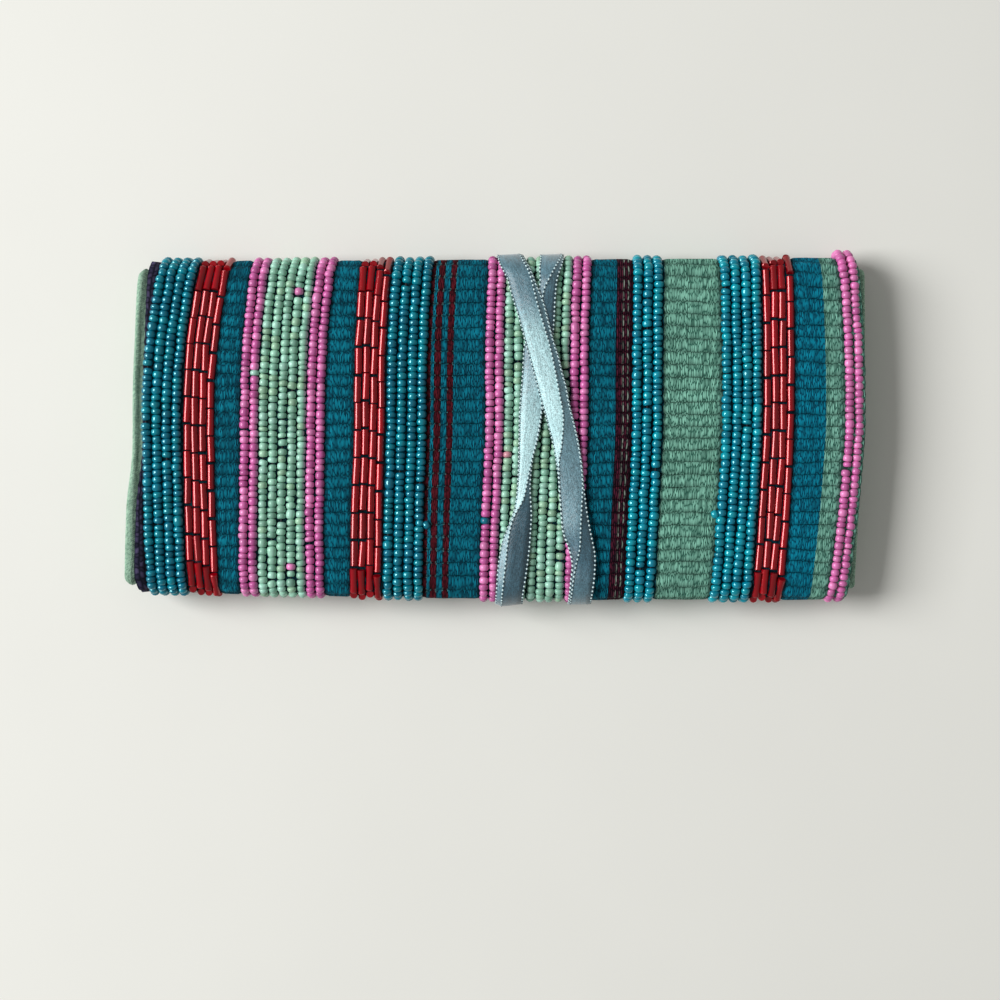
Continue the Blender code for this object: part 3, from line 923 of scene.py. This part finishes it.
def bead_length(kind, rng):
    """The length of the next bead; about one seed bead in a hundred is a long one."""
    if kind == "bugle":
        return BUGLE_SIZE[1] * rng.uniform(0.96, 1.03)
    length = SEED_SIZE[1] * min(max(rng.gauss(0.98, 0.12), 0.70), 1.30)
    return length * 1.5 if rng.random() < 0.01 else length


def string_beads(strand, models, materials):
    """One strand: its thread, and beads laid one after the other along it."""
    rng = random.Random(strand.name)
    kind = strand.kind
    path = strand_path(strand, rng)
    thread = thread_piece(path, materials["thread"])
    beads = []
    at = rng.uniform(0.0, FIRST_BEAD[kind])
    while True:
        long = bead_length(kind, rng)
        if at + long > path.length:
            break
        wide = STRUNG_WIDTH[kind] * min(1 + rng.gauss(0, WIDTH_SPREAD[kind]), 1.03)
        direction = path.at(at + long) - path.at(at)
        chord_middle = (path.at(at + long) + path.at(at)) / 2
        centre = path.at(at + long / 2).lerp(chord_middle, 0.3)
        centre.x += rng.gauss(0, BEAD_JITTER)
        colour = glaze_of(strand, centre, rng)
        beads.append(set_bead(models[kind], kind, centre, direction, long, wide, colour, rng))
        at += long + rng.uniform(*BEAD_GAP)
        if rng.random() < GAP_CHANCE[kind]:
            at += rng.uniform(*WIDE_GAP)
    for stray_strand, y, offset in STRAY_BEADS:
        if strand.name == stray_strand:
            centre = place(strand.x, FRONT_START + y - BOTTOM_FOLD_Y, STRUNG_WIDTH[kind] * 0.45)
            centre.x += offset
            colour = glaze_of(strand, centre, rng)
            beads.append(set_bead(
                models[kind], kind, centre, Vector((0.9, 0.4, 0.1)), SEED_SIZE[1], STRUNG_WIDTH[kind] * 0.9,
                colour, rng))
    return join_pieces([thread] + beads, strand.name.replace("strand", "beads"))


def glass_material(name, roughness, ior, level, gleam, grain):
    """Coloured glass: each bead's own glaze, a little streaky, its gleam tinted by the glaze."""
    made, tree, shader = new_material(name)
    glaze = node(tree, "ShaderNodeAttribute", attribute_name="glaze").outputs["Color"]
    uneven = unevenness(tree, 420.0, grain)
    tree.links.new(scaled(tree, glaze, uneven["Factor"]), shader.inputs["Base Color"])
    rough = sum_of(tree, "MULTIPLY_ADD", uneven["Fine"], 0.12, roughness - 0.06)
    tree.links.new(rough, shader.inputs["Roughness"])
    shader.inputs["IOR"].default_value = ior
    shader.inputs["Specular IOR Level"].default_value = level
    shader.inputs["Specular Tint"].default_value = gleam
    raise_surface(tree, shader, uneven["Fine"], 0.35, 0.00005)
    return made


def yarn_material(name, shade, scale, amount, roughness, strength, distance):
    """Plain thread in one shade, a little uneven."""
    made, tree, shader = new_material(name)
    uneven = unevenness(tree, scale, amount)
    tree.links.new(scaled(tree, shade, uneven["Factor"]), shader.inputs["Base Color"])
    shader.inputs["Roughness"].default_value = roughness
    raise_surface(tree, shader, uneven["Fine"], strength, distance)
    return made


def thread_material():
    """The beads' sewing thread."""
    return yarn_material("dark_thread", tint(20, 18, 26), 500.0, 0.5, 0.75, 0.6, 0.00008)


# Ribbon tie: creases in millimetres, as (place up the roll, place along it)

OVER_LEFT = (
    (47.9, 1.0), (47.3, 1.0), (44.5, 2.1), (42.3, 3.5), (35.7, 5.2), (30.4, 6.9), (23.2, 8.8),
    (19.0, 10.0), (12.3, 11.8), (4.8, 13.8), (1.3, 14.8), (-3.1, 16.0), (-7.3, 16.9),
    (-14.3, 17.9), (-19.7, 18.2), (-29.0, 18.9), (-33.6, 20.8), (-38.4, 21.8), (-42.8, 21.2),
    (-48.2, 20.8),
)
OVER_RIDGE = (
    (48.4, 7.2), (47.7, 7.2), (45.6, 8.8), (41.7, 10.2), (33.6, 12.1), (28.7, 13.6),
    (23.8, 15.1), (17.1, 16.6), (9.0, 18.1), (3.8, 19.1), (0.4, 19.1), (-5.6, 18.6),
    (-9.0, 17.9), (-14.3, 18.0), (-19.7, 18.2), (-29.0, 18.9), (-33.6, 20.8), (-38.4, 21.8),
    (-42.8, 21.3), (-48.2, 20.8),
)
OVER_CREASE = (
    (48.4, 7.7), (47.3, 8.2), (45.1, 9.6), (40.6, 11.2), (34.7, 13.6), (24.4, 16.1),
    (19.3, 17.8), (15.4, 18.6), (11.5, 19.8), (6.4, 20.6), (1.3, 22.0), (-3.9, 23.2),
    (-10.4, 24.2), (-16.2, 24.6), (-26.6, 24.0), (-33.6, 23.8), (-38.4, 22.6), (-42.8, 21.9),
    (-48.2, 21.3),
)
OVER_RIGHT = (
    (48.4, 7.7), (47.3, 8.2), (45.1, 9.7), (40.6, 11.3), (34.7, 13.7), (24.4, 16.1),
    (19.3, 17.8), (15.4, 18.8), (11.5, 19.8), (6.4, 20.8), (1.3, 22.0), (-3.9, 23.2),
    (-10.4, 24.3), (-16.5, 24.8), (-24.4, 25.8), (-30.4, 27.0), (-35.6, 28.1), (-41.2, 27.9),
    (-46.8, 27.2), (-48.7, 26.9),
)
UNDER_LEFT = (
    (48.4, 13.2), (46.8, 12.8), (44.5, 12.6), (39.8, 12.8), (22.7, 8.2), (14.8, 7.8),
    (9.8, 7.4), (3.8, 6.9), (-5.6, 6.8), (-12.9, 6.6), (-20.4, 6.1), (-23.8, 5.3), (-27.4, 3.9),
    (-31.4, 2.2), (-38.4, 1.0), (-49.0, 0.3),
)
UNDER_RIDGE = (
    (48.7, 19.2), (45.6, 17.4), (38.9, 13.7), (27.7, 12.3), (13.7, 13.0), (4.8, 13.1),
    (-0.6, 12.3), (-3.9, 11.7), (-8.1, 10.5), (-19.9, 8.1), (-24.4, 5.5), (-27.2, 4.5),
    (-32.2, 3.6), (-38.4, 3.0), (-47.6, 1.9),
)
UNDER_RIGHT = (
    (48.8, 19.3), (46.2, 19.0), (42.0, 17.4), (35.6, 16.8), (30.5, 16.6), (26.0, 16.2),
    (13.7, 14.8), (4.8, 13.2), (-0.6, 12.3), (-3.9, 11.8), (-8.1, 10.6), (-12.0, 10.1),
    (-16.5, 9.8), (-24.4, 10.3), (-33.6, 9.7), (-40.6, 8.8), (-48.2, 7.6),
)
RIBBON_REST = 0.00262
RIBBON_SHEER = 0.00022
RIBBON_WIDTH = 0.0075
OVER_LIFT = 0.00060
CREASE_RISE = 0.00085
OVER_BACK = (-0.0080, -0.0035)
UNDER_BACK = (0.0043, 0.0065)
RIBBON_ROWS = 230
CREASE_APART = 0.00012
CREASE_FILL = 3
PLAIN_PAINTED_SHEEN = 0.3
GATHER_ROWS = 9
GATHERED = 0.28
KNOT_TURN = 62
KNOT_ASIDE = 0.0022
KNOT_CORE = (0.0046, 0.0021, 0.0014)
KNOT_WRAP = (0.00115, 0.0018, 0.0050)
TAIL_START = 0.003
TAIL_LENGTH = 0.0155
TAIL_ROWS = 22
TAIL_NOTCH = 0.0012
STITCH_PITCH = 0.00125
STITCH_SIZE = (0.00062, 0.00072, 0.00044)
HOLE_SIZE = (0.00058, 0.00048, 0.00056)

# Painted sheen and shade on each face of the satin: place up the roll in millimetres, then how light each
# face is painted
PAINTED_SHEEN = {
    "over": (
        (49, 0.28, 0.22, 0.20), (36, 0.32, 0.40, 0.20), (26, 0.85, 0.35, 0.20), (5, 1.0, 0.42, 0.22),
        (-10, 0.92, 0.40, 0.30), (-16, 0.52, 0.42, 0.22), (-26, 0.40, 0.42, 0.12), (-36, 0.12, 0.12, 0.18),
        (-49, 0.15, 0.15, 0.30),
    ),
    "under": (
        (49, 0.30, 0.42), (36, 0.25, 0.20), (20, 0.35, 0.20), (10, 0.75, 0.25), (0, 0.95, 0.35),
        (-16, 1.0, 0.40), (-24, 0.95, 0.12), (-32, 0.55, 0.10), (-49, 0.30, 0.16),
    ),
}


def line_at(line, y):
    """Where a crease lies at one place up the roll, softened over three millimetres."""
    total = 0.0
    for nudge in (-1.5, -0.75, 0.0, 0.75, 1.5):
        up = y * 1000 + nudge
        x = line[0][1] if up > line[0][0] else line[-1][1]
        for (high, high_x), (low, low_x) in zip(line, line[1:]):
            if low <= up <= high:
                x = low_x + (high_x - low_x) * (up - low) / (high - low)
                break
        total += x / 5000
    return total


def knot_middle():
    """The middle of the knot, at the hem on the back."""
    tie_middle = (TIE_LEFT + TIE_RIGHT) / 2
    knot_y = HEM_Y - CONTACT_GAP - KNOT_DEPTH / 2
    return Vector((tie_middle + KNOT_ASIDE, knot_y, KNOT_LIFT + KNOT_HEIGHT / 2)) + SHIFT


def ribbon_rows(lines, back, over):
    """Rows of crease points from the knot, up the front, down the back and to the knot."""
    tie_middle = (TIE_LEFT + TIE_RIGHT) / 2 + SHIFT.x
    rows = []
    start = BOTTOM_START + (FRONT_START - BOTTOM_START) * 0.3
    for number in range(RIBBON_ROWS + 1):
        along = start + (SHEET_LENGTH - start) * number / RIBBON_ROWS
        y = place(0.0, along, RIBBON_REST).y
        behind = ease(along, TOP_START + 0.35 * (BACK_START - TOP_START), BACK_START)
        share = ramp(along, BACK_START, SHEET_LENGTH)
        middle = tie_middle + back[0] * (1 - share) + back[1] * share
        across = []
        for spot, line in enumerate(lines):
            x_behind = middle + RIBBON_WIDTH * (spot / (len(lines) - 1) - 0.5)
            across.append(line_at(line, y) * (1 - behind) + x_behind * behind)
        for spot in range(1, len(lines)):
            across[spot] = max(across[spot], across[spot - 1] + CREASE_APART)
        heights = [0.0] * len(lines)
        for spot in range(1, len(lines) - 1):
            room = min(across[spot] - across[spot - 1], across[spot + 1] - across[spot])
            heights[spot] = min(CREASE_RISE, 0.42 * room) * (1 - behind)
        lift = OVER_LIFT * ease(y, -0.004, 0.004) * (1 - ease(y, 0.036, 0.042)) if over else 0.0
        row = []
        for x, height in zip(across, heights):
            point = place(x - SHIFT.x, along, RIBBON_REST + lift + height)
            row.append(Vector((x, point.y, point.z)))
        rows.append(row)
    return rows


def into_knot(row, knot):
    """Rows from an end of the ribbon to the knot, gathered narrower on the way."""
    made = []
    middle = sum(row, Vector()) / len(row)
    for step in range(1, GATHER_ROWS + 1):
        share = ease(step / GATHER_ROWS, 0.0, 1.0)
        narrow = 1 - (1 - GATHERED) * share
        target = Vector((knot.x + (middle.x - knot.x) * 0.12, knot.y, knot.z))
        centre = middle.lerp(target, share)
        turn = Matrix.Rotation(share * math.radians(KNOT_TURN), 3, "X")
        made.append([centre + turn @ ((point - middle) * narrow) for point in row])
    return made


def painted_sheen_at(table, y, face):
    """How light one face of the satin is painted at a place up the roll, as painted sheen and shade."""
    up = y * 1000
    for before, after in zip(table, table[1:]):
        if up >= after[0]:
            share = ramp(-up, -before[0], -after[0])
            return before[face + 1] * (1 - share) + after[face + 1] * share
    return table[-1][face + 1]


def ribbon_strip(name, rows, materials, lustre=None):
    """A satin strip through rows of crease points, rounded between them, with a thin edge."""
    fine = []
    widths = []
    for row in rows:
        points = []
        places = []
        run = 0.0
        for first, second in zip(row, row[1:]):
            for step in range(CREASE_FILL):
                share = step / CREASE_FILL
                points.append(first.lerp(second, share))
                places.append(run + (second - first).length * share)
            run += (second - first).length
        points.append(row[-1])
        places.append(run)
        fine.append(points)
        widths.append(places)
    columns = len(fine[0])
    mesh = bpy.data.meshes.new(name)
    mesh.from_pydata([point for row in fine for point in row], [], grid_faces(len(fine), columns))
    flat = mesh.uv_layers.new(name="flat")
    along = [0.0]
    for before, after in zip(fine, fine[1:]):
        along.append(along[-1] + (after[columns // 2] - before[columns // 2]).length)
    for loop in mesh.loops:
        row, column = divmod(loop.vertex_index, columns)
        flat.data[loop.index].uv = (widths[row][column], along[row])
    # Painted sheen and shade: each face's share between the dark and the light satin colour.
    shade = mesh.attributes.new("lustre", "FLOAT", "CORNER")
    for face in mesh.polygons:
        row, column = divmod(face.vertices[0], columns)
        middle = fine[row][column]
        value = PLAIN_PAINTED_SHEEN
        if lustre and middle.z > BOTTOM_FOLD_Z:
            value = painted_sheen_at(lustre, middle.y, column // CREASE_FILL)
        for loop in face.loop_indices:
            shade.data[loop].value = value
    strip = shown(mesh, name, materials["satin"])
    thickness = strip.modifiers.new("thickness", "SOLIDIFY")
    thickness.thickness = RIBBON_SHEER
    thickness.offset = 1.0
    apply_modifiers(strip)
    return strip


def edge_mark(size, material):
    """One small rounded mark, a stitch or a hole, at its size."""
    bpy.ops.object.select_all(action="DESELECT")
    bpy.ops.mesh.primitive_ico_sphere_add(subdivisions=1, radius=0.5)
    bpy.ops.transform.resize(value=size)
    bpy.ops.object.transform_apply(location=False, rotation=False, scale=True)
    mark = bpy.context.active_object
    mark.data.materials.append(material)
    mark.data.polygons.foreach_set("use_smooth", [True] * len(mark.data.polygons))
    return mark


def under_top_run(point):
    """Whether the run on top covers this place on the front."""
    left = line_at(OVER_LEFT, point.y) + STITCH_SIZE[0] / 2
    right = line_at(OVER_RIGHT, point.y) - STITCH_SIZE[0] / 2
    return point.z > BOTTOM_FOLD_Z and left < point.x < right


def edge_stitches(rows, columns, over, materials):
    """Raised stitches with a dark hole after each, at an even pitch along the ribbon's edges."""
    models = (edge_mark(STITCH_SIZE, materials["stitch"]), edge_mark(HOLE_SIZE, materials["hole"]))
    made = []
    for column in columns:
        path = Path([row[column] for row in rows])
        count = 2 * int(path.length / STITCH_PITCH)
        for number in range(count):
            middle = (number + 0.5) * STITCH_PITCH / 2
            if not over and under_top_run(path.at(middle)):
                continue
            direction = path.at(middle + 0.0003) - path.at(middle - 0.0003)
            model = models[number % 2]
            mark = model.copy()
            mark.data = model.data.copy()
            bpy.context.collection.objects.link(mark)
            turn = direction.to_track_quat("Y", "Z").to_matrix().to_4x4()
            lift = Vector((0.0, 0.0, RIBBON_SHEER * (1.0 if path.at(middle).z > 0.008 else -1.0)))
            mark.matrix_world = Matrix.Translation(path.at(middle) + lift) @ turn
            made.append(mark)
    for model in models:
        bpy.data.objects.remove(model)
    return made


def tie_knot(knot, materials):
    """The knot: a gathered core with a turn of ribbon round it, and two short tails."""
    pieces = []
    bpy.ops.object.select_all(action="DESELECT")
    bpy.ops.mesh.primitive_uv_sphere_add(segments=28, ring_count=16, radius=1.0, location=knot)
    core = bpy.context.active_object
    for vertex in core.data.vertices:
        x, y, z = vertex.co
        fold = 0.10 * math.sin(11 * math.atan2(y, z) + 3 * x)
        long, deep, high = KNOT_CORE
        vertex.co = Vector((x * long, y * (1 + fold) * deep, z * (1 + fold) * high))
    pieces.append(core)
    bpy.ops.object.select_all(action="DESELECT")
    bpy.ops.mesh.primitive_torus_add(
        major_segments=32, minor_segments=10, major_radius=1.0, minor_radius=0.34, location=knot,
        rotation=(0.0, math.pi / 2, 0.0))
    wrap = bpy.context.active_object
    for vertex in wrap.data.vertices:
        x, y, z = vertex.co
        long, deep, high = KNOT_WRAP
        vertex.co = Vector((x * long, y * deep, z * high))
    pieces.append(wrap)
    for side in (-1, 1):
        rows = []
        for step in range(TAIL_ROWS):
            share = step / (TAIL_ROWS - 1)
            x = knot.x + side * (TAIL_START + TAIL_LENGTH * share)
            y = knot.y - 0.0002 + 0.0006 * math.sin(5 * share + side)
            z = knot.z - 0.0004 + 0.0004 * math.sin(7 * share + 1.3 * side)
            wide = 0.0009 + 0.0011 * ease(share, 0.0, 0.35)
            notch = TAIL_NOTCH if share == 1 else 0.0
            rows.append([
                Vector((x, y - wide, z)), Vector((x - side * notch, y, z + 0.0003 * (1 - share))),
                Vector((x, y + wide, z))])
        if side < 0:
            rows.reverse()
        pieces.append(ribbon_strip("tail", rows, materials))
    for piece in pieces[:2]:
        piece.data.materials.append(materials["satin"])
        piece.data.polygons.foreach_set("use_smooth", [True] * len(piece.data.polygons))
    return pieces


def tie_ribbon(materials):
    """The ribbon tie: the lower run, the run over it, their stitched edges and the knot."""
    knot = knot_middle()
    pieces = []
    runs = (
        ("over", (OVER_LEFT, OVER_RIDGE, OVER_CREASE, OVER_RIGHT), OVER_BACK, True),
        ("under", (UNDER_LEFT, UNDER_RIDGE, UNDER_RIGHT), UNDER_BACK, False),
    )
    for name, lines, back, over in runs:
        rows = ribbon_rows(lines, back, over)
        rows = into_knot(rows[0], knot)[::-1] + rows + into_knot(rows[-1], knot)
        pieces.append(ribbon_strip("ribbon_" + name, rows, materials, PAINTED_SHEEN[name]))
        pieces += edge_stitches(rows, range(len(lines)), over, materials)
    pieces += tie_knot(knot, materials)
    return join_pieces(pieces, "satin_ribbon")


def satin_material():
    """Satin: fine threads along the ribbon, with painted sheen and shade: darker on the flat and light
    where it turns up.
    """
    made, tree, shader = new_material("slate_satin")
    flat = node(tree, "ShaderNodeUVMap", uv_map="flat")
    apart = node(tree, "ShaderNodeSeparateXYZ", {0: flat.outputs["UV"]})
    yarn = node(tree, "ShaderNodeGroup", {
        "Across": apart.outputs["X"], "Along": apart.outputs["Y"],
        "Yarn Width": 0.00022, "Float Length": 0.0016, "Stagger": 1.0}, node_tree=YARN_WEAVE)
    uneven = unevenness(tree, 380.0, 0.2)
    lustre = node(tree, "ShaderNodeAttribute", attribute_name="lustre").outputs["Fac"]
    # Painted sheen and shade: the satin's colour runs from dark slate to pale with each face's painted
    # value.
    slate_with_sheen = colour_steps(tree, lustre, [
        (0.0, tint(34, 66, 80)), (0.2, tint(62, 100, 116)), (0.45, tint(112, 150, 162)),
        (0.8, tint(158, 198, 204)), (1.0, tint(184, 224, 228))], smooth=True)
    # Thread tone from each float's random tone and fine noise, with painted light on the yarn crowns.
    thread = sum_of(tree, "MULTIPLY_ADD", yarn.outputs["Shade"], 0.45,
                    sum_of(tree, "MULTIPLY_ADD", yarn.outputs["Height"], 0.25, 0.25))
    thread = sum_of(tree, "MULTIPLY_ADD", uneven["Fine"], 2.2, sum_of(tree, "ADD", thread, -0.72))
    colour = scaled(tree, slate_with_sheen, thread)
    tree.links.new(scaled(tree, colour, uneven["Factor"]), shader.inputs["Base Color"])
    rough = sum_of(tree, "MULTIPLY_ADD", yarn.outputs["Shade"], 0.14, 0.30)
    tree.links.new(rough, shader.inputs["Roughness"])
    shader.inputs["Sheen Weight"].default_value = 0.4
    shader.inputs["Specular IOR Level"].default_value = 0.7
    raise_surface(tree, shader, yarn.outputs["Height"], 0.5, 0.00006)
    return made


def stitch_material(name, shade):
    """The stitches along the ribbon's edges, or the holes between them."""
    return yarn_material(name, shade, 600.0, 0.3, 0.45, 0.5, 0.00005)


# Table, light and camera

def set_table():
    """A plain pale table top."""
    bpy.ops.object.select_all(action="DESELECT")
    bpy.ops.mesh.primitive_plane_add(size=6.0, location=(0.0, 0.0, -0.00002))
    table = bpy.context.active_object
    table.name = "table"
    made, tree, shader = new_material("pale_table")
    colour = scaled(tree, tint(236, 236, 230), unevenness(tree, 9.0, 0.03)["Factor"])
    tree.links.new(colour, shader.inputs["Base Color"])
    shader.inputs["Roughness"].default_value = 0.7
    shader.inputs["Specular IOR Level"].default_value = 0.2
    table.data.materials.append(made)


def area_light(name, azimuth, elevation, distance, size, power, colour):
    """A square light aimed at the roll, its azimuth counted from +X towards +Y."""
    data = bpy.data.lights.new(name, "AREA")
    data.size = size
    data.energy = power
    data.color = colour
    light = bpy.data.objects.new(name, data)
    bpy.context.collection.objects.link(light)
    turn, rise = math.radians(azimuth), math.radians(elevation)
    towards = Vector((math.cos(turn) * math.cos(rise), math.sin(turn) * math.cos(rise), math.sin(rise)))
    light.location = towards * distance
    light.rotation_mode = "QUATERNION"
    light.rotation_quaternion = towards.to_track_quat("Z", "Y")


def light_studio():
    """One large soft light from the left, and a dim pale room."""
    area_light("window", 171, 37, 2.20, 1.16, 58.6, (1.0, 1.0, 0.998))
    world = bpy.data.worlds.new("room")
    world.use_nodes = True
    sky = world.node_tree.nodes["Background"]
    sky.inputs["Color"].default_value = (1.0, 0.99, 0.97, 1.0)
    sky.inputs["Strength"].default_value = 0.26
    bpy.context.scene.world = world
    bpy.context.scene.view_settings.view_transform = "Standard"


def aim_camera():
    """Straight down, 45 centimetres over the front of the roll."""
    data = bpy.data.cameras.new("overhead")
    data.sensor_width = 36.0
    data.lens = 57.86
    data.clip_start = 0.01
    camera = bpy.data.objects.new("overhead", data)
    camera.location = (0.00145, -0.0201, 0.4651)
    bpy.context.collection.objects.link(camera)
    bpy.context.scene.camera = camera


def main():
    """Make every piece, let it stand for its node, and hang it from the root body."""
    aim_camera()
    light_studio()
    set_table()

    cloth = weave_cloth(cloth_material())
    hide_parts("outer_cloth")
    lining = sew_lining(lining_material())
    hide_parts("padded_lining")

    glass = {
        "teal": glass_material("teal_glass", 0.18, 1.60, 1.0, (0.45, 1.0, 1.0, 1.0), 0.20),
        "pink": glass_material("pink_glass", 0.28, 1.50, 0.6, (1.0, 0.75, 0.92, 1.0), 0.12),
        "mint": glass_material("mint_glass", 0.30, 1.50, 0.5, (0.85, 1.0, 0.92, 1.0), 0.10),
        "bugle": glass_material("red_glass", 0.17, 1.75, 1.0, (1.0, 0.31, 0.32, 1.0), 0.22),
    }
    thread = {"thread": thread_material()}
    models = {
        kind: model_bead("bead_" + kind, SEED_SIZE, 0.60, 2, 50, glass[kind])
        for kind in ("teal", "pink", "mint")
    }
    models["bugle"] = model_bead("bead_bugle", BUGLE_SIZE, 0.16, 1, 36, glass["bugle"])
    pieces = [cloth, lining]
    for strand in STRANDS:
        beads = string_beads(strand, models, thread)
        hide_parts(strand.name)
        pieces.append(beads)
    for model in models.values():
        bpy.data.objects.remove(model)

    tie = tie_ribbon({
        "satin": satin_material(),
        "stitch": stitch_material("selvedge_stitches", tint(206, 230, 232)),
        "hole": stitch_material("selvedge_holes", tint(30, 62, 74)),
    })
    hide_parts("ribbon_tie")
    pieces.append(tie)
    for piece in pieces:
        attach(piece, "root")


main()
